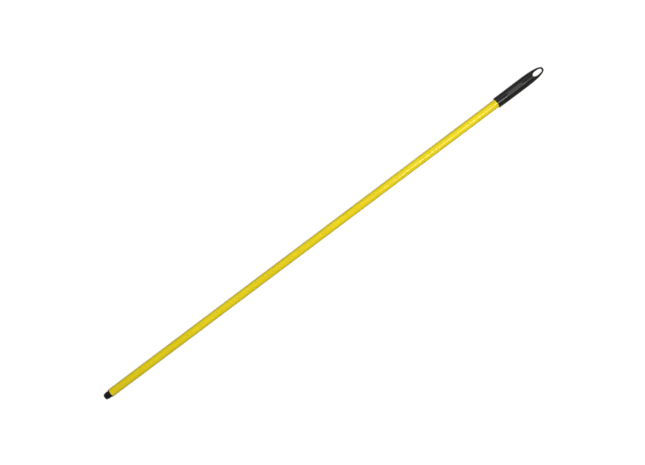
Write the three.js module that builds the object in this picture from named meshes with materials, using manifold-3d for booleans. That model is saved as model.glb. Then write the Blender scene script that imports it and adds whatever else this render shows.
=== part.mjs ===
// A one-length extension pole for a paint roller, built from its real pieces: a welded steel
// tube in a plastic jacket, a moulded screw tip that a roller frame threads on to, and a
// moulded hang-up grip. Nothing on it moves.
//
// Millimetres. +X runs along the pole from the tip to the grip and +Z is up. The pole lies on
// a floor with the hole in the grip upright, and the origin is on the floor under its middle.

import * as THREE from 'three';
import { mergeVertices } from 'three/addons/utils/BufferGeometryUtils.js';
import Module from 'manifold-3d';

const wasm = await Module();
wasm.setup();

// ---- Driving dimensions ----

// Whole pole. Every round surface has the same number of sides, and one side faces the floor.
const POLE_LENGTH = 1371.6;
const TIP_END_X = -POLE_LENGTH / 2;
const NOSE_X = POLE_LENGTH / 2;
const SIDES = 40;
const HALF_SIDE = Math.PI / SIDES;

// Tube and jacket. Both are rolled inwards at the tip, round one circle.
const JACKET_RADIUS = 11.1;
const JACKET_WALL = 0.35;
const TUBE_WALL = 0.5;
const SKIN_GAP = 0.1;
const ROLL_RADIUS = 1.3;
const ROLL_STEPS = 5;
const TIP_REACH = 19.6;
const RIM_X = TIP_END_X + TIP_REACH;
const TUBE_RADIUS = JACKET_RADIUS - JACKET_WALL - SKIN_GAP;

// Two dents that stake the tube to the tip's stem, one on each side.
const DENT_DISTANCE = 20;
const DENT_X = RIM_X + DENT_DISTANCE;
const DENT_RADIUS = 3.4;
const DENT_DEPTH = 0.7;
const DENT_STEPS = 6;

// Screw tip: a roller-pole thread of five turns to the inch, a shoulder, a neck and a stem.
const THREAD_RADIUS = 9.4;
const THREAD_DEPTH = 1.4;
const THREAD_PITCH = 5.08;
const THREAD_CREST = 0.3;
const THREAD_ROOT = 0.36;
const THREAD_ROW = 0.5;
const THREAD_CHAMFER_LENGTH = 4.5;
const THREAD_END_STEP = 0.5;
const SHOULDER_RADIUS = 10.8;
const SHOULDER_CONE = 3;
const SHOULDER_BAND = 2.2;
const SEAT_GAP = 0.2;
const SHOULDER_X = RIM_X - SEAT_GAP;
const THREAD_END_X = SHOULDER_X - SHOULDER_BAND - SHOULDER_CONE;
const NECK_RADIUS = 9.6;
const NECK_CLEARANCE = 0.4;
const NECK_END_X = RIM_X + ROLL_RADIUS + NECK_CLEARANCE;
const STEM_RADIUS = 9.95;
const STEM_REACH = 38;
const STEM_END_X = RIM_X + STEM_REACH;
const STEM_CHAMFER = 1.2;
const STEM_CORE_RADIUS = 6.6;
const STEM_CORE_DEPTH = 32;
const FLUTES = 8;
const FLUTE_RADIUS = 1.3;
const FLUTE_CENTRE = 10.3;

// Grip: a barrel over the tube that widens to a belly, then narrows to a rounded nose, which
// also grows flatter.
const GRIP_LENGTH = 140.4;
const MOUTH_X = NOSE_X - GRIP_LENGTH;
const MOUTH_RADIUS = 13.7;
const MOUTH_ROUND = 0.9;
const BELLY_RADIUS = 14;
const BELLY_DISTANCE = 76.6;
const BELLY_X = MOUTH_X + BELLY_DISTANCE;
const NOSE_FULLNESS = 2.6;
const NOSE_FLATTENING = 0.45;
const NOSE_STEPS = 18;
const LIP_RADIUS = 11.3;
const LIP_LENGTH = 3;
const SOCKET_RADIUS = 11.75;
const SOCKET_DEPTH = 84;
const SOCKET_END_X = MOUTH_X + SOCKET_DEPTH;
const TUBE_END_GAP = 0.6;
const TUBE_END_X = SOCKET_END_X - TUBE_END_GAP;
const CRUSH_RIBS = 6;
const CRUSH_RIB_WIDTH = 1.8;
const CRUSH_RIB_GAP = 0.15;

// Hang hole: a rounded oval that goes right through the nose.
const NOSE_TO_HOLE = 18.4;
const HOLE_X = NOSE_X - NOSE_TO_HOLE;
const HOLE_HALF_LENGTH = 14.2;
const HOLE_HALF_WIDTH = 5.7;
const HOLE_FULLNESS = 2.3;
const HOLE_POINTS = 48;

// Sunk pad on the upper side of the barrel.
const PAD_DISTANCE = 31;
const PAD_START_X = MOUTH_X + PAD_DISTANCE;
const PAD_LENGTH = 46;
const PAD_WIDTH = 8.4;
const PAD_DEPTH = 0.4;

// Cutting shapes reach this far past what they cut.
const CUT_MARGIN = 5;

// Vertices this close are one vertex.
const WELD_DISTANCE = 1e-4;

// The pole's axis stands this high, so that the flat side under the belly is on the floor.
const AXIS_HEIGHT = BELLY_RADIUS * Math.cos(HALF_SIDE);

// ---- Shape helpers ----

const point = (radius, x) => new THREE.Vector2(radius, x);

// Merges shared vertices and drops the triangles that shrank to nothing.
function weld(geometry) {
  geometry.deleteAttribute('normal');
  geometry.deleteAttribute('uv');
  const merged = mergeVertices(geometry, WELD_DISTANCE);
  const corners = merged.index.array;
  const kept = [];
  for (let i = 0; i < corners.length; i += 3) {
    const [a, b, c] = corners.subarray(i, i + 3);
    if (a !== b && b !== c && c !== a) kept.push(a, b, c);
  }
  merged.setIndex(kept);
  return merged;
}

// Turns a profile of (radius, x) points round the X axis.
function revolve(profile) {
  const turned = new THREE.LatheGeometry(profile, SIDES, HALF_SIDE);
  turned.rotateZ(-Math.PI / 2);
  return weld(turned);
}

// Moves each vertex in or out to the radius that newRadius(x, angle, radius) gives.
function reshape(geometry, newRadius) {
  const places = geometry.attributes.position;
  for (let i = 0; i < places.count; i += 1) {
    const [x, y, z] = [places.getX(i), places.getY(i), places.getZ(i)];
    const radius = Math.hypot(y, z);
    if (radius > 0) {
      const scale = newRadius(x, Math.atan2(z, y), radius) / radius;
      places.setXYZ(i, x, y * scale, z * scale);
    }
  }
  return geometry;
}

function toSolid(geometry) {
  const vertProperties = Float32Array.from(geometry.attributes.position.array);
  const triVerts = Uint32Array.from(geometry.index.array);
  return new wasm.Manifold(new wasm.Mesh({ numProp: 3, vertProperties, triVerts }));
}

function toGeometry(solid) {
  const mesh = solid.getMesh();
  const geometry = new THREE.BufferGeometry();
  geometry.setAttribute('position', new THREE.BufferAttribute(mesh.vertProperties, 3));
  geometry.setIndex(new THREE.BufferAttribute(mesh.triVerts, 1));
  return geometry;
}

// A flat shape drawn in X and Y, made into a prism between two heights.
function prism(shape, fromZ, toZ) {
  const geometry = new THREE.ExtrudeGeometry(shape, { depth: toZ - fromZ, bevelEnabled: false });
  geometry.translate(0, 0, fromZ);
  return toSolid(weld(geometry));
}

// A round bar along X.
function bar(radius, fromX, toX) {
  return toSolid(revolve([point(0, fromX), point(radius, fromX), point(radius, toX), point(0, toX)]));
}

// The second half-axis of a rounded oval (a superellipse), as a share of its full size.
const ovalShare = (share, fullness) => Math.max(0, 1 - Math.abs(share) ** fullness) ** (1 / fullness);

// ---- Tube and jacket ----

// How far the staking dents push every layer in, at a place along and an angle round the tube.
function dentDepth(x, angle) {
  const distance = Math.hypot(x - DENT_X, JACKET_RADIUS * Math.sin(angle)) / DENT_RADIUS;
  return distance < 1 ? (DENT_DEPTH * (1 + Math.cos(Math.PI * distance))) / 2 : 0;
}

const stake = (geometry) => reshape(geometry, (x, angle, radius) => radius - dentDepth(x, angle));

// Stations along X where a dented wall needs points.
function dentStations() {
  const stations = [];
  for (let i = 0; i <= DENT_STEPS; i += 1) {
    stations.push(DENT_X + DENT_RADIUS * ((2 * i) / DENT_STEPS - 1));
  }
  return stations;
}

// One surface of a rolled end: a quarter circle from the rolled lip to the straight wall.
function rolledEnd(rollRadius) {
  const arc = [];
  for (let i = 0; i <= ROLL_STEPS; i += 1) {
    const angle = ((Math.PI / 2) * i) / ROLL_STEPS;
    const radius = JACKET_RADIUS - ROLL_RADIUS + rollRadius * Math.sin(angle);
    arc.push(point(radius, RIM_X + ROLL_RADIUS - rollRadius * Math.cos(angle)));
  }
  return arc;
}

// A thin tube with one end rolled in. Its outer surface lies inset from the jacket's.
function rolledTube(inset, wall) {
  const surface = (depth) => [
    ...rolledEnd(ROLL_RADIUS - depth),
    ...dentStations().map((x) => point(JACKET_RADIUS - depth, x)),
    point(JACKET_RADIUS - depth, TUBE_END_X),
  ];
  const outside = surface(inset);
  const inside = surface(inset + wall).reverse();
  return stake(revolve([...outside, ...inside, outside[0]]));
}

const vinylJacket = () => rolledTube(0, JACKET_WALL);

const steelTube = () => rolledTube(JACKET_WALL + SKIN_GAP, TUBE_WALL);

// ---- Screw tip ----

// Height of the thread's profile, 0 at the root and 1 at the crest, over one turn from 0 to 1.
function threadHeight(turn) {
  const fromCrest = Math.abs(turn - Math.round(turn));
  const flank = (1 - THREAD_CREST - THREAD_ROOT) / 2;
  return THREE.MathUtils.clamp((THREAD_CREST / 2 + flank - fromCrest) / flank, 0, 1);
}

// The threaded length, which ends inside the shoulder. Its free end is chamfered.
function threadedRod() {
  const rows = Math.ceil((THREAD_END_X + SHOULDER_CONE - TIP_END_X) / THREAD_ROW);
  const profile = [point(0, TIP_END_X)];
  for (let i = 0; i <= rows; i += 1) profile.push(point(THREAD_RADIUS, TIP_END_X + i * THREAD_ROW));
  profile.push(point(0, TIP_END_X + rows * THREAD_ROW));
  const root = THREAD_RADIUS - THREAD_DEPTH;
  const threadRadius = (x, angle) => {
    const turn = (x - TIP_END_X) / THREAD_PITCH - angle / (2 * Math.PI);
    const chamfer = (x - TIP_END_X) * (THREAD_DEPTH / THREAD_CHAMFER_LENGTH) - THREAD_END_STEP;
    return root + Math.min(THREAD_DEPTH * threadHeight(turn), chamfer);
  };
  return toSolid(reshape(revolve(profile), threadRadius));
}

// Shoulder, neck and stem, with the pockets that the staking dents press into.
function stem() {
  return toSolid(stake(revolve([
    point(0, THREAD_END_X),
    point(THREAD_RADIUS, THREAD_END_X),
    point(SHOULDER_RADIUS, SHOULDER_X - SHOULDER_BAND),
    point(SHOULDER_RADIUS, SHOULDER_X),
    point(NECK_RADIUS, SHOULDER_X),
    point(NECK_RADIUS, NECK_END_X),
    point(STEM_RADIUS, NECK_END_X),
    ...dentStations().map((x) => point(STEM_RADIUS, x)),
    point(STEM_RADIUS, STEM_END_X - STEM_CHAMFER),
    point(STEM_RADIUS - STEM_CHAMFER, STEM_END_X),
    point(0, STEM_END_X),
  ])));
}

// Long flutes leave ribs on the stem, so that it can be pressed into the tube.
function flute(number) {
  const angle = ((number + 0.5) * 2 * Math.PI) / FLUTES;
  const offset = [0, FLUTE_CENTRE * Math.cos(angle), FLUTE_CENTRE * Math.sin(angle)];
  return bar(FLUTE_RADIUS, NECK_END_X, STEM_END_X + CUT_MARGIN).translate(offset);
}

function threadedTip() {
  let tip = threadedRod().add(stem());
  for (let i = 0; i < FLUTES; i += 1) tip = tip.subtract(flute(i));
  const core = bar(STEM_CORE_RADIUS, STEM_END_X - STEM_CORE_DEPTH, STEM_END_X + CUT_MARGIN);
  return toGeometry(tip.subtract(core));
}

// ---- Hang-up grip ----

// Outline of the barrel and nose, drawn inwards by inset.
function gripProfile(inset) {
  const profile = [
    point(0, MOUTH_X),
    point(MOUTH_RADIUS - MOUTH_ROUND, MOUTH_X),
    point(MOUTH_RADIUS - inset, MOUTH_X + MOUTH_ROUND),
    point(BELLY_RADIUS - inset, BELLY_X),
  ];
  for (let i = 1; i < NOSE_STEPS; i += 1) {
    const angle = ((Math.PI / 2) * i) / NOSE_STEPS;
    const radius = BELLY_RADIUS * ovalShare(Math.sin(angle), NOSE_FULLNESS);
    profile.push(point(radius - inset, BELLY_X + (NOSE_X - BELLY_X) * Math.sin(angle)));
  }
  return profile.filter((place) => place.x >= 0).concat(point(0, NOSE_X - inset));
}

// Makes the round nose less high than it is wide, more so towards its end.
function flattenNose(geometry) {
  const places = geometry.attributes.position;
  for (let i = 0; i < places.count; i += 1) {
    const share = Math.max(0, (places.getX(i) - BELLY_X) / (NOSE_X - BELLY_X));
    places.setZ(i, places.getZ(i) * (1 - NOSE_FLATTENING * share ** 2));
  }
  return geometry;
}

function hangHole() {
  const rim = [];
  for (let i = 0; i < HOLE_POINTS; i += 1) {
    const angle = (2 * Math.PI * i) / HOLE_POINTS;
    const across = Math.sign(Math.sin(angle)) * ovalShare(Math.cos(angle), HOLE_FULLNESS);
    rim.push(new THREE.Vector2(HOLE_X + HOLE_HALF_LENGTH * Math.cos(angle), HOLE_HALF_WIDTH * across));
  }
  return prism(new THREE.Shape(rim), -BELLY_RADIUS - CUT_MARGIN, BELLY_RADIUS + CUT_MARGIN);
}

// The skin of the barrel that is missing over the sunk pad, a slot with round ends.
function padRecess() {
  const half = PAD_WIDTH / 2;
  const slot = new THREE.Shape();
  slot.absarc(PAD_START_X + half, 0, half, Math.PI / 2, -Math.PI / 2);
  slot.absarc(PAD_START_X + PAD_LENGTH - half, 0, half, -Math.PI / 2, Math.PI / 2);
  return prism(slot, 0, BELLY_RADIUS + CUT_MARGIN).subtract(toSolid(revolve(gripProfile(PAD_DEPTH))));
}

// A long block that leaves one crush rib standing where it is kept out of the socket.
function crushRib(number) {
  const length = SOCKET_DEPTH + CUT_MARGIN;
  const height = SOCKET_RADIUS + CUT_MARGIN;
  const block = new THREE.BoxGeometry(length, height, CRUSH_RIB_WIDTH);
  block.translate(MOUTH_X + LIP_LENGTH + length / 2, height / 2, 0);
  return toSolid(weld(block)).rotate([((number + 0.5) * 360) / CRUSH_RIBS, 0, 0]);
}

// The space that the tube sits in: through a close lip, then between the ribs that hold it.
function socket() {
  const lip = bar(LIP_RADIUS, MOUTH_X - CUT_MARGIN, MOUTH_X + LIP_LENGTH + CUT_MARGIN);
  let space = bar(SOCKET_RADIUS, MOUTH_X + LIP_LENGTH, SOCKET_END_X);
  for (let i = 0; i < CRUSH_RIBS; i += 1) space = space.subtract(crushRib(i));
  return space.add(lip).add(bar(JACKET_RADIUS + CRUSH_RIB_GAP, MOUTH_X, SOCKET_END_X));
}

function hangGrip() {
  const body = toSolid(flattenNose(revolve(gripProfile(0))));
  return toGeometry(body.subtract(hangHole()).subtract(padRecess()).subtract(socket()));
}

// ---- Assembly ----

function piece(name, geometry, color, roughness, metalness) {
  const mesh = new THREE.Mesh(geometry, new THREE.MeshStandardMaterial({ color, roughness, metalness }));
  mesh.name = name;
  return mesh;
}

const pole = new THREE.Group();
pole.position.z = AXIS_HEIGHT;
pole.add(
  piece('steel_tube', steelTube(), 0x9a9ea3, 0.35, 1),
  piece('vinyl_jacket', vinylJacket(), 0xe8d51e, 0.3, 0),
  piece('threaded_tip', threadedTip(), 0x18181a, 0.45, 0),
  piece('hang_grip', hangGrip(), 0x222224, 0.5, 0),
);

export default pole;
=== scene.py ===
"""The looks of a roller extension pole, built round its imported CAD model.

The pole lies along X on the floor, tip at -X and hang-up grip at +X. Lengths are in metres.
"""

import math

import bpy
import numpy as np
from mathutils import Matrix, Vector


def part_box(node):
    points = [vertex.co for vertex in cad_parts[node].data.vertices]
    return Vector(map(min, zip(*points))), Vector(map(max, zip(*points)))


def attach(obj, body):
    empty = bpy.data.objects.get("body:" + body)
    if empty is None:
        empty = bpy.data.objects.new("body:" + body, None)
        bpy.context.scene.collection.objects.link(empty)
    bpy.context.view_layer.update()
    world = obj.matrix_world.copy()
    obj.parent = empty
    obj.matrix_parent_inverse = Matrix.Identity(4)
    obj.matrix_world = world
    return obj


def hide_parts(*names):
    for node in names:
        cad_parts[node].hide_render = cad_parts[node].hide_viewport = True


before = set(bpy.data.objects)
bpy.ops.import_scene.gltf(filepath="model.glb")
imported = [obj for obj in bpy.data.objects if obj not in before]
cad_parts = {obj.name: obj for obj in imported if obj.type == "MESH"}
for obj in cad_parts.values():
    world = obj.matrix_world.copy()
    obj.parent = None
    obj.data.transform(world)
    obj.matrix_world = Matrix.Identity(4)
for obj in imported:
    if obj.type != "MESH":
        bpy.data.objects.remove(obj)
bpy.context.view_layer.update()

BODY = "root"
MM = 0.001
TURN = 2 * math.pi

# ---- Places read from the frame ----

JACKET_LOW, JACKET_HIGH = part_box("vinyl_jacket")
TIP_LOW, TIP_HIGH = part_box("threaded_tip")
GRIP_LOW, GRIP_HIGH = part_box("hang_grip")

# Height of the fine line that a mould leaves along each side of the tip and the grip.
PARTING_HEIGHT = 0.05 * MM

AXIS_Y = (GRIP_LOW.y + GRIP_HIGH.y) / 2
AXIS_Z = (GRIP_LOW.z + GRIP_HIGH.z) / 2
RIM_X = JACKET_LOW.x
TUBE_END_X = JACKET_HIGH.x
JACKET_RADIUS = (JACKET_HIGH.z - JACKET_LOW.z) / 2
TIP_END_X = TIP_LOW.x
STEM_END_X = TIP_HIGH.x
SHOULDER_RADIUS = (TIP_HIGH.z - TIP_LOW.z) / 2
MOUTH_X = GRIP_LOW.x
NOSE_X = GRIP_HIGH.x
BELLY_RADIUS = (GRIP_HIGH.z - GRIP_LOW.z) / 2 - PARTING_HEIGHT

# ---- Sizes of the details ----

# Jacket, with a rolled rim at the tip and a staking dent on each side.
JACKET_WALL = 0.35 * MM
ROLL_RADIUS = 1.3 * MM
DENT_X = RIM_X + 20 * MM
DENT_RADIUS = 3.4 * MM
DENT_DEPTH = 0.7 * MM

# Screw tip. Crest and root are shares of the thread's pitch. A flute starts where a wave round
# the stem reaches its start, and has its whole depth a rise above that. So do the crush ribs.
THREAD_RADIUS = 9.4 * MM
THREAD_DEPTH = 1.4 * MM
THREAD_PITCH = 5.08 * MM
THREAD_CREST = 0.3
THREAD_ROOT = 0.36
THREAD_CHAMFER_LENGTH = 4.5 * MM
THREAD_CHAMFER_BLEND = 0.3 * MM
THREAD_END_STEP = 0.5 * MM
SHOULDER_CONE = 3 * MM
SHOULDER_BAND = 2.2 * MM
SHOULDER_X = RIM_X - 0.2 * MM
SHOULDER_ROUND = 0.45 * MM
NECK_RADIUS = 9.6 * MM
NECK_END_X = RIM_X + 1.7 * MM
STEM_RADIUS = 9.95 * MM
STEM_CHAMFER = 1.2 * MM
CORE_RADIUS = 6.6 * MM
CORE_DEPTH = 32 * MM
FLUTES = 8
FLUTE_DEPTH = 0.85 * MM
FLUTE_START = 0.55
FLUTE_RISE = 0.3

# Grip: mouth, barrel, belly and nose outside, and lip, socket and crush ribs inside.
MOUTH_RADIUS = 13.66 * MM
MOUTH_ROUND = 0.9 * MM
BELLY_X = MOUTH_X + 76.6 * MM
NOSE_FULLNESS = 2.6
NOSE_FLATTENING = 0.45
LIP_RADIUS = 11.3 * MM
LIP_LENGTH = 3 * MM
LIP_BEVEL = 0.3 * MM
SOCKET_RADIUS = 11.75 * MM
SOCKET_END_X = MOUTH_X + 84 * MM
CRUSH_RIBS = 6
CRUSH_RIB_HEIGHT = 0.45 * MM
CRUSH_RIB_START = 0.6
CRUSH_RIB_RISE = 0.25

# Hang hole: a rounded oval right through the nose. Its cutter flares by HOLE_FLARE degrees at
# each surface, which rounds the hole's edges, and stands HOLE_OVERLAP out of the surface there.
HOLE_X = NOSE_X - 18.4 * MM
HOLE_HALF_LENGTH = 14.2 * MM
HOLE_HALF_WIDTH = 5.7 * MM
HOLE_FULLNESS = 2.3
HOLE_ROUNDING = 1.1 * MM
HOLE_FLARE = 76
HOLE_OVERLAP = 0.04 * MM

# Sunk pad on the upper side of the barrel, with small cross ribs.
PAD_X = MOUTH_X + 54 * MM
PAD_LENGTH = 46 * MM
PAD_WIDTH = 8.4 * MM
PAD_DEPTH = 0.4 * MM
PAD_WALL = 0.3 * MM
PAD_RIB_PITCH = 1.6 * MM
PAD_RIB_HEIGHT = 0.3 * MM

# ---- Fineness of the meshes ----

# Columns are counted round the pole and rows along it. A row size is the most between two rows,
# and angles here are in degrees.
JACKET_COLUMNS = 128
TIP_COLUMNS = 192
GRIP_COLUMNS = 120
HOLE_COLUMNS = 120
JACKET_ROWS = {"before": 3 * MM, "across": 0.35 * MM, "after": 12 * MM}
STEM_ROWS = {"before": 4 * MM, "across": 0.5 * MM, "after": 4 * MM}
THREAD_ROW = 0.12 * MM
CONE_ROW = 0.25 * MM
BARREL_ROW = 3 * MM
PAD_ROW = 0.2 * MM
NOSE_ROWS = 170
NOSE_LAST_ANGLE = 89.6
ROLL_STEPS = 10
SHOULDER_STEPS = 5
MOUTH_STEPS = 6
HOLE_FLARE_ROWS = 9
PAD_EDGE_COLUMNS = 9
PAD_EDGE_SPREAD = 2.25
ANGLE_DECIMALS = 5

# A straight wall's first row comes a lead after the roundness or the neck before it, and the
# fine rows of the pad start PAD_MARGIN before it. A ring SHOULDER_RING in from the shoulder's
# rounded edge keeps its face flat. A sharp step in radius takes STEP_LENGTH, and two surfaces
# that meet stop ROW_GAP apart.
WALL_LEAD = 1 * MM
STEM_LEAD = 2 * MM
PAD_MARGIN = 1 * MM
SHOULDER_RING = 0.075 * MM
STEP_LENGTH = 0.1 * MM
ROW_GAP = 0.02 * MM

# Edges sharper than these many degrees stay crisp.
SHARP_ANGLE = 40
THREAD_SHARP_ANGLE = 32


# ---- Shape helpers ----

def smooth_step(share):
    """0 below 0, 1 above 1, and an even S between them."""
    share = np.clip(share, 0, 1)
    return share * share * (3 - 2 * share)


def raised(wave, start, rise):
    """0 where a wave is below start, 1 where it is more than rise above, an even S between."""
    return smooth_step((wave - start) / rise)


def smooth_min(first, second, reach):
    """The lower of two heights, rounded where they are within reach of each other."""
    overlap = np.maximum(reach - np.abs(first - second), 0)
    return np.minimum(first, second) - overlap ** 2 / (4 * reach)


def oval_share(share, fullness):
    """The second half-axis of a rounded oval, as a share of its full size."""
    return np.maximum(0, 1 - np.abs(share) ** fullness) ** (1 / fullness)


def spread(start, end, step):
    """Even places from start to end, no further apart than step, without the end."""
    count = max(1, math.ceil(abs(end - start) / step))
    return np.linspace(start, end, count, endpoint=False)


def spread_past_dents(start, end, row_sizes):
    """Places from start to end, end included, closer together across the dents."""
    dent_start, dent_end = DENT_X - DENT_RADIUS, DENT_X + DENT_RADIUS
    return np.concatenate([
        spread(start, dent_start, row_sizes["before"]),
        spread(dent_start, dent_end, row_sizes["across"]),
        spread(dent_end, end, row_sizes["after"]),
        [end],
    ])


def quarter(steps):
    """Angles along a quarter of a circle."""
    return np.linspace(0, math.pi / 2, steps + 1)


def even_angles(columns):
    """Even angles round a whole circle."""
    return np.arange(columns) * TURN / columns


def seam(angles):
    """Whether each angle is on one of the two sides where the halves of a mould meet."""
    return np.isclose(np.sin(angles), 0, atol=10 ** -ANGLE_DECIMALS)


# ---- Mesh helpers ----

def ring_faces(rings, columns, closed=False):
    """Faces between rings of points. Closed ones also join the last ring to the first."""
    here = np.arange(columns)
    beside = (here + 1) % columns
    faces = []
    for ring in range(rings if closed else rings - 1):
        low, high = ring * columns, (ring + 1) % rings * columns
        faces += np.stack([low + here, low + beside, high + beside, high + here], axis=-1).tolist()
    return faces


def mesh_object(name, vertices, faces):
    """A new mesh object in the scene."""
    mesh = bpy.data.meshes.new(name)
    mesh.from_pydata(vertices, [], faces)
    piece = bpy.data.objects.new(name, mesh)
    bpy.context.scene.collection.objects.link(piece)
    return piece


def shade(mesh, sharp_angle):
    """Shades a mesh smooth but for edges sharper than sharp_angle degrees."""
    mesh.shade_smooth()
    mesh.set_sharp_from_angle(angle=math.radians(sharp_angle))


def turned(name, x, radius, angles, closed=False, sharp_angle=SHARP_ANGLE, height=1.0):
    """A piece on the pole's body, turned round its axis: one radius for each row and angle.

    A closed skin joins its last row to its first. Any other ends on the axis at both ends.
    Rows are as high as they are wide, unless height gives each row's share of its width.
    """
    rows, columns = radius.shape
    y = AXIS_Y + radius * np.cos(angles)
    z = AXIS_Z + radius * np.sin(angles) * height
    places = np.stack([np.broadcast_to(x[:, None], radius.shape), y, z], axis=-1)
    vertices = places.reshape(-1, 3).tolist()
    faces = ring_faces(rows, columns, closed)
    if not closed:
        first, last = len(vertices), len(vertices) + 1
        vertices += [(x[0], AXIS_Y, AXIS_Z), (x[-1], AXIS_Y, AXIS_Z)]
        top = (rows - 1) * columns
        around = [(column, (column + 1) % columns) for column in range(columns)]
        faces += [(first, beside, here) for here, beside in around]
        faces += [(top + here, top + beside, last) for here, beside in around]
    piece = mesh_object(name, vertices, faces)
    piece.data.validate()
    shade(piece.data, sharp_angle)
    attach(piece, BODY)
    return piece


def dent_depth(x, angles):
    """How far the two staking dents push the wall in, for each row and angle."""
    across = JACKET_RADIUS * np.sin(angles)[None, :]
    distance = np.hypot(x[:, None] - DENT_X, across) / DENT_RADIUS
    return np.where(distance < 1, DENT_DEPTH * (1 + np.cos(np.pi * distance)) / 2, 0)


# ---- Jacket ----

def jacket_rows(depth):
    """Places and radii of a surface at a depth in the jacket, from its rolled rim to its end."""
    angle = quarter(ROLL_STEPS)
    roll = ROLL_RADIUS - depth
    rim_x = RIM_X + ROLL_RADIUS - roll * np.cos(angle)
    rim_radius = JACKET_RADIUS - ROLL_RADIUS + roll * np.sin(angle)
    wall_x = spread_past_dents(RIM_X + ROLL_RADIUS + WALL_LEAD, TUBE_END_X, JACKET_ROWS)
    wall_radius = np.full(wall_x.shape, JACKET_RADIUS - depth)
    return np.concatenate([rim_x, wall_x]), np.concatenate([rim_radius, wall_radius])


def make_jacket():
    angles = even_angles(JACKET_COLUMNS)
    outer_x, outer_radius = jacket_rows(0)
    inner_x, inner_radius = jacket_rows(JACKET_WALL)
    x = np.concatenate([outer_x, inner_x[::-1]])
    radius = np.concatenate([outer_radius, inner_radius[::-1]])
    jacket = turned("jacket_skin", x, radius[:, None] - dent_depth(x, angles), angles, closed=True)
    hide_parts("vinyl_jacket")
    return jacket


# ---- Screw tip ----

def thread_rows(angles):
    """The rounded thread, chamfered at its free end."""
    thread_end = SHOULDER_X - SHOULDER_BAND - SHOULDER_CONE
    x = np.append(spread(TIP_END_X, thread_end, THREAD_ROW), thread_end - ROW_GAP)
    from_end = x[:, None] - TIP_END_X
    turn = from_end / THREAD_PITCH - angles[None, :] / TURN
    from_crest = np.abs(turn - np.round(turn))
    flank = (1 - THREAD_CREST - THREAD_ROOT) / 2
    height = THREAD_DEPTH * smooth_step((THREAD_CREST / 2 + flank - from_crest) / flank)
    chamfer = from_end * (THREAD_DEPTH / THREAD_CHAMFER_LENGTH) - THREAD_END_STEP
    root = THREAD_RADIUS - THREAD_DEPTH
    return x, root + smooth_min(height, chamfer, THREAD_CHAMFER_BLEND)


def shoulder_rows():
    """The cone, band and back face of the shoulder, with a rounded edge, and then the neck."""
    band_x = SHOULDER_X - SHOULDER_BAND
    cone_x = spread(band_x - SHOULDER_CONE, band_x - SHOULDER_ROUND, CONE_ROW)
    share = (cone_x - band_x + SHOULDER_CONE) / SHOULDER_CONE
    cone_radius = THREAD_RADIUS + (SHOULDER_RADIUS - THREAD_RADIUS) * share
    angle = quarter(SHOULDER_STEPS)
    edge_x = SHOULDER_X - SHOULDER_ROUND + SHOULDER_ROUND * np.sin(angle)
    edge_radius = SHOULDER_RADIUS - SHOULDER_ROUND + SHOULDER_ROUND * np.cos(angle)
    face_x = [SHOULDER_X, SHOULDER_X, NECK_END_X]
    face_radius = [SHOULDER_RADIUS - SHOULDER_ROUND - SHOULDER_RING, NECK_RADIUS, NECK_RADIUS]
    x = np.concatenate([cone_x, [band_x], edge_x, face_x])
    return x, np.concatenate([cone_radius, [SHOULDER_RADIUS], edge_radius, face_radius])


def stem_rows(angles):
    """The stem's wall up to its chamfer, with long rounded flutes and the two dents."""
    start = [NECK_END_X + STEP_LENGTH]
    wall_x = spread_past_dents(NECK_END_X + STEM_LEAD, STEM_END_X - STEM_CHAMFER, STEM_ROWS)
    x = np.concatenate([start, wall_x])
    flutes = FLUTE_DEPTH * raised(np.abs(np.cos(FLUTES / 2 * angles)), FLUTE_START, FLUTE_RISE)
    return x, STEM_RADIUS - dent_depth(x, angles) - flutes


def core_rows():
    """The chamfered end of the stem, and the core in it down to the core's bottom."""
    x = np.array([STEM_END_X, STEM_END_X, STEM_END_X - CORE_DEPTH])
    return x, np.array([STEM_RADIUS - STEM_CHAMFER, CORE_RADIUS, CORE_RADIUS])


def all_round(radius, angles):
    """The same radius at every angle, for each row."""
    return np.repeat(radius[:, None], angles.size, axis=1)


def make_tip():
    angles = even_angles(TIP_COLUMNS)
    thread_x, thread = thread_rows(angles)
    shoulder_x, shoulder = shoulder_rows()
    stem_x, stem = stem_rows(angles)
    core_x, core = core_rows()
    x = np.concatenate([thread_x, shoulder_x, stem_x, core_x])
    radius = np.concatenate([thread, all_round(shoulder, angles), stem, all_round(core, angles)])
    radius += PARTING_HEIGHT * (seam(angles) & (x < SHOULDER_X)[:, None])
    tip = turned("screw_tip", x, radius, angles, sharp_angle=THREAD_SHARP_ANGLE)
    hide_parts("threaded_tip")
    return tip


# ---- Hang-up grip ----

def grip_angles():
    """Angles round the grip, closer together along the edges of the pad."""
    edge = math.asin(PAD_WIDTH / 2 / BELLY_RADIUS)
    near_edge = edge + np.radians(np.linspace(-PAD_EDGE_SPREAD, PAD_EDGE_SPREAD, PAD_EDGE_COLUMNS))
    top = math.pi / 2
    angles = np.concatenate([even_angles(GRIP_COLUMNS), top + near_edge, top - near_edge])
    return np.unique(np.round(angles, ANGLE_DECIMALS))


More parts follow.
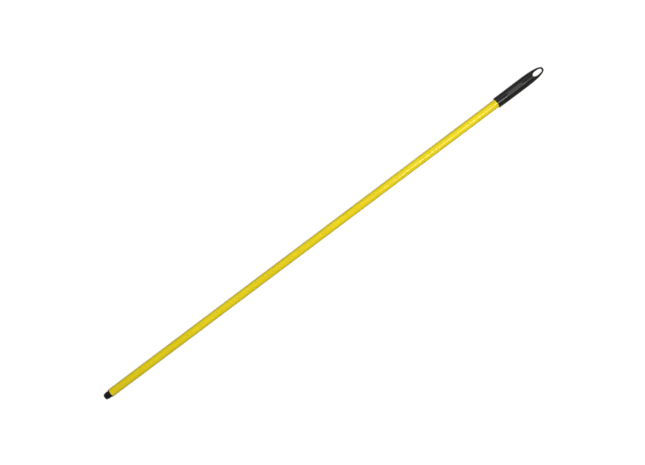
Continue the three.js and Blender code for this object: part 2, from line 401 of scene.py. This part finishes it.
def grip_outline():
    """Places along the outside of the grip, from its mouth to just short of its end, and radii."""
    angle = quarter(MOUTH_STEPS)[::-1]
    mouth_x = MOUTH_X + MOUTH_ROUND * (1 - np.sin(angle))
    mouth_radius = MOUTH_RADIUS - MOUTH_ROUND * (1 - np.cos(angle))
    barrel_start = MOUTH_X + MOUTH_ROUND
    pad_start = PAD_X - PAD_LENGTH / 2 - PAD_MARGIN
    plain_x = spread(barrel_start + WALL_LEAD, pad_start, BARREL_ROW)
    barrel_x = np.concatenate([plain_x, spread(pad_start, BELLY_X, PAD_ROW)])
    share = (barrel_x - barrel_start) / (BELLY_X - barrel_start)
    barrel_radius = MOUTH_RADIUS + (BELLY_RADIUS - MOUTH_RADIUS) * share
    nose = np.sin(np.radians(np.linspace(0, NOSE_LAST_ANGLE, NOSE_ROWS)))
    nose_x = BELLY_X + (NOSE_X - BELLY_X) * nose
    nose_radius = BELLY_RADIUS * oval_share(nose, NOSE_FULLNESS)
    x = np.concatenate([mouth_x, barrel_x, nose_x])
    return x, np.concatenate([mouth_radius, barrel_radius, nose_radius])


def nose_share(x):
    """How far each place is along the nose, from 0 at the belly to 1 at its end."""
    return np.clip((x - BELLY_X) / (NOSE_X - BELLY_X), 0, 1)


def nose_height(x):
    """The nose's height as a share of its width."""
    return 1 - NOSE_FLATTENING * nose_share(x) ** 2


def nose_surface(x, y):
    """How far the nose's upper surface stands above the axis at each place."""
    half_width = BELLY_RADIUS * oval_share(nose_share(x), NOSE_FULLNESS)
    inside = np.clip(1 - (y / half_width) ** 2, 0, 1)
    return half_width * nose_height(x) * np.sqrt(inside)


def pad_share(x, y, on_top):
    """1 on the sunk pad's floor and 0 off it. y is from the axis, and on_top is where it can be."""
    along = np.maximum(np.abs(x - PAD_X) - (PAD_LENGTH - PAD_WIDTH) / 2, 0)
    inside = PAD_WIDTH / 2 - np.hypot(along, y)
    return smooth_step(inside / PAD_WALL) * on_top


def pad_relief(x, pad):
    """The pad's floor and the small cross ribs that stand on it."""
    rib = (1 + np.cos(TURN * (x - PAD_X) / PAD_RIB_PITCH)) / 2
    return pad * (PAD_RIB_HEIGHT * smooth_step(rib)[:, None] - PAD_DEPTH)


def outer_rows(angles):
    """The outside of the grip, with its pad and its parting lines."""
    x, outline = grip_outline()
    outline = outline[:, None]
    pad = pad_share(x[:, None], outline * np.cos(angles), np.sin(angles) > 0)
    parting = PARTING_HEIGHT * (seam(angles) & (outline > BELLY_RADIUS / 2))
    return x, outline + pad_relief(x, pad) + parting


def socket_rows(angles):
    """The inside of the grip from the socket's end to its mouth, with its crush ribs."""
    lip_x = MOUTH_X + LIP_LENGTH
    x, radius = np.array([
        (SOCKET_END_X, SOCKET_RADIUS),
        (lip_x + STEP_LENGTH, SOCKET_RADIUS),
        (lip_x, LIP_RADIUS),
        (MOUTH_X + LIP_BEVEL, LIP_RADIUS),
        (MOUTH_X, LIP_RADIUS + LIP_BEVEL),
    ]).T
    ribs = raised(-np.cos(CRUSH_RIBS * angles), CRUSH_RIB_START, CRUSH_RIB_RISE)
    in_socket = (x > lip_x)[:, None]
    return x, radius[:, None] - np.where(in_socket, CRUSH_RIB_HEIGHT * ribs, 0)


def hole_cutter():
    """A bar the shape of the hole. It flares near both surfaces, which leaves rounded edges.

    Its rings are places measured from the axis until the axis's own place is added.
    """
    flare = np.radians(np.linspace(0, HOLE_FLARE, HOLE_FLARE_ROWS))[:, None]
    grow = HOLE_ROUNDING * (1 - np.cos(flare))
    below_surface = HOLE_ROUNDING * (np.sin(flare[-1]) - np.sin(flare)) - HOLE_OVERLAP
    angles = even_angles(HOLE_COLUMNS)
    across = np.sign(np.sin(angles)) * oval_share(np.cos(angles), HOLE_FULLNESS)
    x = HOLE_X + (HOLE_HALF_LENGTH + grow) * np.cos(angles)
    y = (HOLE_HALF_WIDTH + grow) * across
    flared = np.stack([x, y, nose_surface(x, y) - below_surface], axis=-1)
    end = flared[-1:].copy()
    end[..., 2] = BELLY_RADIUS
    upper = np.concatenate([flared, end])
    lower = upper[::-1] * (1, 1, -1)
    rings = np.concatenate([lower, upper]) + (0, AXIS_Y, AXIS_Z)
    column = np.arange(HOLE_COLUMNS)
    caps = [column[::-1].tolist(), ((len(rings) - 1) * HOLE_COLUMNS + column).tolist()]
    faces = caps + ring_faces(len(rings), HOLE_COLUMNS)
    return mesh_object("hole_cutter", rings.reshape(-1, 3).tolist(), faces)


def cut(piece, cutter):
    """Cuts the cutter's shape out of the piece for good, and removes the cutter."""
    boolean = piece.modifiers.new("cut", "BOOLEAN")
    boolean.operation = "DIFFERENCE"
    boolean.solver = "EXACT"
    boolean.object = cutter
    graph = bpy.context.evaluated_depsgraph_get()
    result = bpy.data.meshes.new_from_object(piece.evaluated_get(graph))
    piece.modifiers.clear()
    piece.data = result
    shade(result, SHARP_ANGLE)
    bpy.data.objects.remove(cutter)


def mark_pad(grip):
    """Stores on each vertex whether it is on the pad, for the grip's material."""
    places = np.empty(len(grip.data.vertices) * 3)
    grip.data.vertices.foreach_get("co", places)
    x, y, z = places.reshape(-1, 3).T
    y -= AXIS_Y
    z -= AXIS_Z
    on_top = (z > 0) & (np.hypot(y, z) > SOCKET_RADIUS + PAD_MARGIN)
    share = pad_share(x, y, on_top)
    layer = grip.data.attributes.new("pad", "FLOAT", "POINT")
    layer.data.foreach_set("value", share.astype(np.float32))


def make_grip():
    angles = grip_angles()
    socket_x, socket = socket_rows(angles)
    outer_x, outer = outer_rows(angles)
    x = np.concatenate([socket_x, outer_x])
    height = np.concatenate([np.ones_like(socket_x), nose_height(outer_x)])[:, None]
    grip = turned("grip_body", x, np.concatenate([socket, outer]), angles, height=height)
    cut(grip, hole_cutter())
    mark_pad(grip)
    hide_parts("hang_grip")
    return grip


# ---- Materials ----

# Colours come in pairs that a fine mottle moves between.
YELLOW = ((0.88, 0.69, 0.002), (0.925, 0.745, 0.005))
# Painted highlight: the rolled rim gets this paler yellow where its curve catches the light.
RIM_HIGHLIGHT_YELLOW = (0.92, 0.80, 0.16)
GRIP_BLACK = ((0.011, 0.011, 0.0115), (0.016, 0.0155, 0.016))
# Painted sheen: the pad gets this paler grey for the broad gloss that its small ribs spread.
PAD_SHEEN_GREY = ((0.05, 0.05, 0.05), (0.075, 0.074, 0.073))
TIP_BLACK = ((0.008, 0.0075, 0.008), (0.012, 0.011, 0.0115))
STEEL = ((0.5, 0.51, 0.53), (0.66, 0.67, 0.69))

# Smoothest and roughest.
YELLOW_ROUGHNESS = (0.12, 0.19)
GRIP_ROUGHNESS = (0.2, 0.26)
PAD_EXTRA_ROUGHNESS = 0.25
TIP_ROUGHNESS = (0.28, 0.42)
STEEL_ROUGHNESS = (0.26, 0.42)

VINYL_IOR = 1.5
BLACK_PLASTIC_IOR = 1.49

# The middle share of a noise's range, where most of its values are.
NOISE_MIDDLE = (0.3, 0.7)

# The painted highlight on the rolled rim, a paler band, fades out between these two places.
RIM_HIGHLIGHT_FADE = (RIM_X + 0.8 * MM, RIM_X + 2.2 * MM)

DIE_LINE_DEPTH = 0.012 * MM
ORANGE_PEEL_DEPTH = 0.02 * MM
GRAIN_DEPTH = 0.02 * MM
BRUSH_DEPTH = 0.01 * MM


class Nodes:
    """A new material's node tree, with short ways to add the nodes that are used here."""

    def __init__(self, name):
        self.material = bpy.data.materials.new(name)
        self.material.use_nodes = True
        self.tree = self.material.node_tree
        self.shader = self.tree.nodes["Principled BSDF"]
        coordinates = self.tree.nodes.new("ShaderNodeTexCoord")
        self.place = coordinates.outputs["Object"]

    def link(self, source, target):
        self.tree.links.new(source, target)

    def noise(self, cells, stretch=1.0, detail=3.0):
        """Noise with so many cells per metre, or that times stretch along the pole."""
        mapping = self.tree.nodes.new("ShaderNodeMapping")
        mapping.inputs["Scale"].default_value = (stretch, 1, 1)
        self.link(self.place, mapping.inputs["Vector"])
        noise = self.tree.nodes.new("ShaderNodeTexNoise")
        noise.inputs["Scale"].default_value = cells
        noise.inputs["Detail"].default_value = detail
        self.link(mapping.outputs["Vector"], noise.inputs["Vector"])
        return noise.outputs["Fac"]

    def remap(self, value, to_range, from_range=(0.0, 1.0)):
        """A value moved from one range, and kept inside it, to another."""
        node = self.tree.nodes.new("ShaderNodeMapRange")
        node.inputs["From Min"].default_value, node.inputs["From Max"].default_value = from_range
        node.inputs["To Min"].default_value, node.inputs["To Max"].default_value = to_range
        self.link(value, node.inputs["Value"])
        return node.outputs["Result"]

    def blend(self, share, low, high):
        """A colour between two others. Each is a colour or another node's output."""
        node = self.tree.nodes.new("ShaderNodeMix")
        node.data_type = "RGBA"
        self.link(share, node.inputs["Factor"])
        for name, colour in (("A", low), ("B", high)):
            socket = next(s for s in node.inputs if s.name == name and s.type == "RGBA")
            if isinstance(colour, tuple):
                socket.default_value = (*colour, 1)
            else:
                self.link(colour, socket)
        return next(s for s in node.outputs if s.type == "RGBA")

    def add_scaled(self, value, scale, base):
        """One node's output times a number, added to another node's output."""
        node = self.tree.nodes.new("ShaderNodeMath")
        node.operation = "MULTIPLY_ADD"
        self.link(value, node.inputs[0])
        node.inputs[1].default_value = scale
        self.link(base, node.inputs[2])
        return node.outputs["Value"]

    def along(self):
        """The place along the pole, in metres."""
        node = self.tree.nodes.new("ShaderNodeSeparateXYZ")
        self.link(self.place, node.inputs["Vector"])
        return node.outputs["X"]

    def stored(self, name):
        """A value that is stored on the piece's vertices."""
        node = self.tree.nodes.new("ShaderNodeAttribute")
        node.attribute_name = name
        return node.outputs["Fac"]

    def bump(self, height, depth, after=None):
        """Adds a bump of a depth in metres, on top of an earlier one if it is given."""
        node = self.tree.nodes.new("ShaderNodeBump")
        node.inputs["Distance"].default_value = depth
        self.link(height, node.inputs["Height"])
        if after is not None:
            self.link(after, node.inputs["Normal"])
        self.link(node.outputs["Normal"], self.shader.inputs["Normal"])
        return node.outputs["Normal"]

    def set_surface(self, colour, roughness):
        self.link(colour, self.shader.inputs["Base Color"])
        self.link(roughness, self.shader.inputs["Roughness"])


def yellow_vinyl():
    """Glossy extruded skin: faint die lines along it, light orange peel, a painted highlight on the
    rolled rim.
    """
    nodes = Nodes("yellow_vinyl")
    mottle = nodes.remap(nodes.noise(cells=28, stretch=0.25), (0, 1), NOISE_MIDDLE)
    # The rim's paler band is a painted highlight.
    rim = nodes.remap(nodes.along(), (1, 0), RIM_HIGHLIGHT_FADE)
    colour = nodes.blend(rim, nodes.blend(mottle, *YELLOW), RIM_HIGHLIGHT_YELLOW)
    nodes.set_surface(colour, nodes.remap(nodes.noise(cells=160, stretch=0.05), YELLOW_ROUGHNESS))
    lines = nodes.bump(nodes.noise(cells=900, stretch=0.004, detail=1), DIE_LINE_DEPTH)
    nodes.bump(nodes.noise(cells=420), ORANGE_PEEL_DEPTH, after=lines)
    nodes.shader.inputs["IOR"].default_value = VINYL_IOR
    return nodes.material


def grip_plastic():
    """Moulded satin plastic with a fine grain, duller on the pad's small ribs and paler there by a
    painted sheen.
    """
    nodes = Nodes("grip_plastic")
    pad = nodes.stored("pad")
    body = nodes.blend(nodes.noise(cells=90), *GRIP_BLACK)
    # The pad's paler grey is a painted sheen.
    pad_sheen = nodes.blend(nodes.noise(cells=1500), *PAD_SHEEN_GREY)
    barrel = nodes.remap(nodes.noise(cells=240), GRIP_ROUGHNESS, NOISE_MIDDLE)
    roughness = nodes.add_scaled(pad, PAD_EXTRA_ROUGHNESS, barrel)
    nodes.set_surface(nodes.blend(pad, body, pad_sheen), roughness)
    nodes.bump(nodes.noise(cells=2600, detail=2), GRAIN_DEPTH)
    nodes.shader.inputs["IOR"].default_value = BLACK_PLASTIC_IOR
    return nodes.material


def tip_plastic():
    """Moulded satin plastic with a coarser grain and slight changes of gloss."""
    nodes = Nodes("tip_plastic")
    roughness = nodes.remap(nodes.noise(cells=240), TIP_ROUGHNESS, NOISE_MIDDLE)
    nodes.set_surface(nodes.blend(nodes.noise(cells=90), *TIP_BLACK), roughness)
    nodes.bump(nodes.noise(cells=1800, detail=2), GRAIN_DEPTH)
    nodes.shader.inputs["IOR"].default_value = BLACK_PLASTIC_IOR
    return nodes.material


def tube_steel():
    """Drawn strip steel, brushed along its length."""
    nodes = Nodes("tube_steel")
    brush = nodes.noise(cells=1400, stretch=0.01, detail=2)
    nodes.set_surface(nodes.blend(brush, *STEEL), nodes.remap(brush, STEEL_ROUGHNESS))
    nodes.bump(brush, BRUSH_DEPTH)
    nodes.shader.inputs["Metallic"].default_value = 1
    return nodes.material


def paint(piece, material):
    piece.data.materials.clear()
    piece.data.materials.append(material)


# ---- Stage ----

FLOOR_HALF = 12.0
FLOOR_GLOW = 0.86
FLOOR_GREY = 0.25
FLOOR_ROUGHNESS = 0.9

# The sky's light, from the floor below to the top, and what the camera sees of it. The side's
# colour is reached at SKY_HORIZON of the way up.
SKY_BELOW = (0.245, 0.25, 0.24, 1)
SKY_SIDE = (0.145, 0.155, 0.155, 1)
SKY_TOP = (0.09, 0.095, 0.095, 1)
SKY_HORIZON = 0.06
SKY_SEEN = (0.9, 0.9, 0.9, 1)

# Softboxes. A level is how bright the box looks.
KEY_PLACE = (0.64, -0.50, 1.7)
KEY_SIZE = (0.8, 0.38)
KEY_LEVEL = 9.7
KEY_TINT = (1.0, 0.95, 0.86)
TAIL_PLACE = (1.4, -0.44, 1.7)
TAIL_SIZE = (0.7, 0.38)
TAIL_LEVEL = 3.7
SIDE_PLACE = (0.4, 1.6, 1.5)
SIDE_SIZE = (2.6, 1.0)
SIDE_LEVEL = 0.75
SIDE_TINT = (0.93, 1.0, 0.96)
FILL_LEVEL = 1.6
CEILING_PLACE = (0.0, -0.6, 2.8)
CEILING_SIZE = (5.0, 7.0)
CEILING_LEVEL = 0.78
CEILING_TINT = (1.0, 0.98, 0.95)

# The camera looks down at a place near the pole's middle, from a little way towards the grip.
CAMERA_AIM = Vector((0.01158, 0.0029, 0))
CAMERA_DISTANCE = 2.2
CAMERA_TILT = math.radians(4.0)
CAMERA_ROLL = math.radians(36.93)
CAMERA_LENS = 49.127


def make_floor():
    """A pale floor that is nearly white by itself. It sends no light back to the pole."""
    corners = ((-1, -1), (1, -1), (1, 1), (-1, 1))
    vertices = [(x * FLOOR_HALF, y * FLOOR_HALF, GRIP_LOW.z) for x, y in corners]
    floor = mesh_object("floor", vertices, [(0, 1, 2, 3)])
    floor.visible_diffuse = False
    floor.visible_glossy = False
    material = bpy.data.materials.new("floor")
    material.use_nodes = True
    shader = material.node_tree.nodes["Principled BSDF"]
    shader.inputs["Base Color"].default_value = (FLOOR_GREY, FLOOR_GREY, FLOOR_GREY, 1)
    shader.inputs["Roughness"].default_value = FLOOR_ROUGHNESS
    shader.inputs["Specular IOR Level"].default_value = 0
    shader.inputs["Emission Color"].default_value = (1, 1, 1, 1)
    shader.inputs["Emission Strength"].default_value = FLOOR_GLOW
    paint(floor, material)


def sky_colour(tree):
    """The colour of the sky's light, by how high it comes from."""
    place = tree.nodes.new("ShaderNodeTexCoord")
    split = tree.nodes.new("ShaderNodeSeparateXYZ")
    tree.links.new(place.outputs["Generated"], split.inputs["Vector"])
    ramp = tree.nodes.new("ShaderNodeValToRGB")
    ramp.color_ramp.elements[0].color = SKY_BELOW
    ramp.color_ramp.elements.new(SKY_HORIZON).color = SKY_SIDE
    ramp.color_ramp.elements[2].color = SKY_TOP
    tree.links.new(split.outputs["Z"], ramp.inputs["Fac"])
    return ramp.outputs["Color"]


def make_sky():
    """Soft light from all round and from below. To the camera it is as pale as the floor."""
    world = bpy.data.worlds.new("studio")
    world.use_nodes = True
    tree = world.node_tree
    light = tree.nodes["Background"]
    tree.links.new(sky_colour(tree), light.inputs["Color"])
    seen = tree.nodes.new("ShaderNodeBackground")
    seen.inputs["Color"].default_value = SKY_SEEN
    rays = tree.nodes.new("ShaderNodeLightPath")
    mix = tree.nodes.new("ShaderNodeMixShader")
    tree.links.new(rays.outputs["Is Camera Ray"], mix.inputs["Fac"])
    tree.links.new(light.outputs["Background"], mix.inputs[1])
    tree.links.new(seen.outputs["Background"], mix.inputs[2])
    tree.links.new(mix.outputs["Shader"], tree.nodes["World Output"].inputs["Surface"])
    bpy.context.scene.world = world


def add_softbox(name, place, size, level, tint, mirrored):
    """A rectangular softbox that hangs beside the pole's line and faces it.

    One that isn't mirrored lights the pole, but leaves no streak on its gloss.
    """
    light = bpy.data.lights.new(name, "AREA")
    light.shape = "RECTANGLE"
    light.size, light.size_y = size
    light.energy = level * math.pi * size[0] * size[1]
    light.color = tint
    box = bpy.data.objects.new(name, light)
    box.location = place
    aim = Vector((place[0], 0, AXIS_Z))
    box.rotation_euler = (Vector(place) - aim).to_track_quat("Z", "Y").to_euler()
    box.visible_camera = False
    box.visible_glossy = mirrored
    bpy.context.scene.collection.objects.link(box)


def add_softboxes():
    """The key and its fainter tail make the streak. The others light the side and top softly."""
    add_softbox("key_softbox", KEY_PLACE, KEY_SIZE, KEY_LEVEL, KEY_TINT, mirrored=True)
    add_softbox("key_tail", TAIL_PLACE, TAIL_SIZE, TAIL_LEVEL, KEY_TINT, mirrored=True)
    add_softbox("side_softbox", SIDE_PLACE, SIDE_SIZE, SIDE_LEVEL, SIDE_TINT, mirrored=True)
    add_softbox("side_fill", SIDE_PLACE, SIDE_SIZE, FILL_LEVEL, SIDE_TINT, mirrored=False)
    add_softbox("ceiling_softbox", CEILING_PLACE, CEILING_SIZE, CEILING_LEVEL, CEILING_TINT,
                mirrored=False)


def add_camera():
    """Looks down on the pole, the grip a little nearer, with the pole rising to the right."""
    back = Vector((math.sin(CAMERA_TILT), 0, math.cos(CAMERA_TILT)))
    along = Vector((math.cos(CAMERA_TILT), 0, -math.sin(CAMERA_TILT)))
    aside = back.cross(along)
    right = along * math.cos(CAMERA_ROLL) - aside * math.sin(CAMERA_ROLL)
    up = along * math.sin(CAMERA_ROLL) + aside * math.cos(CAMERA_ROLL)
    data = bpy.data.cameras.new("camera")
    data.lens = CAMERA_LENS
    camera = bpy.data.objects.new("camera", data)
    turn = Matrix((right, up, back)).transposed()
    place = Vector((0, 0, AXIS_Z)) + CAMERA_AIM + back * CAMERA_DISTANCE
    camera.matrix_world = Matrix.Translation(place) @ turn.to_4x4()
    bpy.context.scene.collection.objects.link(camera)
    bpy.context.scene.camera = camera


# ---- Everything ----

paint(make_jacket(), yellow_vinyl())
paint(make_tip(), tip_plastic())
paint(make_grip(), grip_plastic())
paint(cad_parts["steel_tube"], tube_steel())

make_floor()
make_sky()
add_softboxes()
add_camera()
bpy.context.scene.view_settings.view_transform = "Standard"
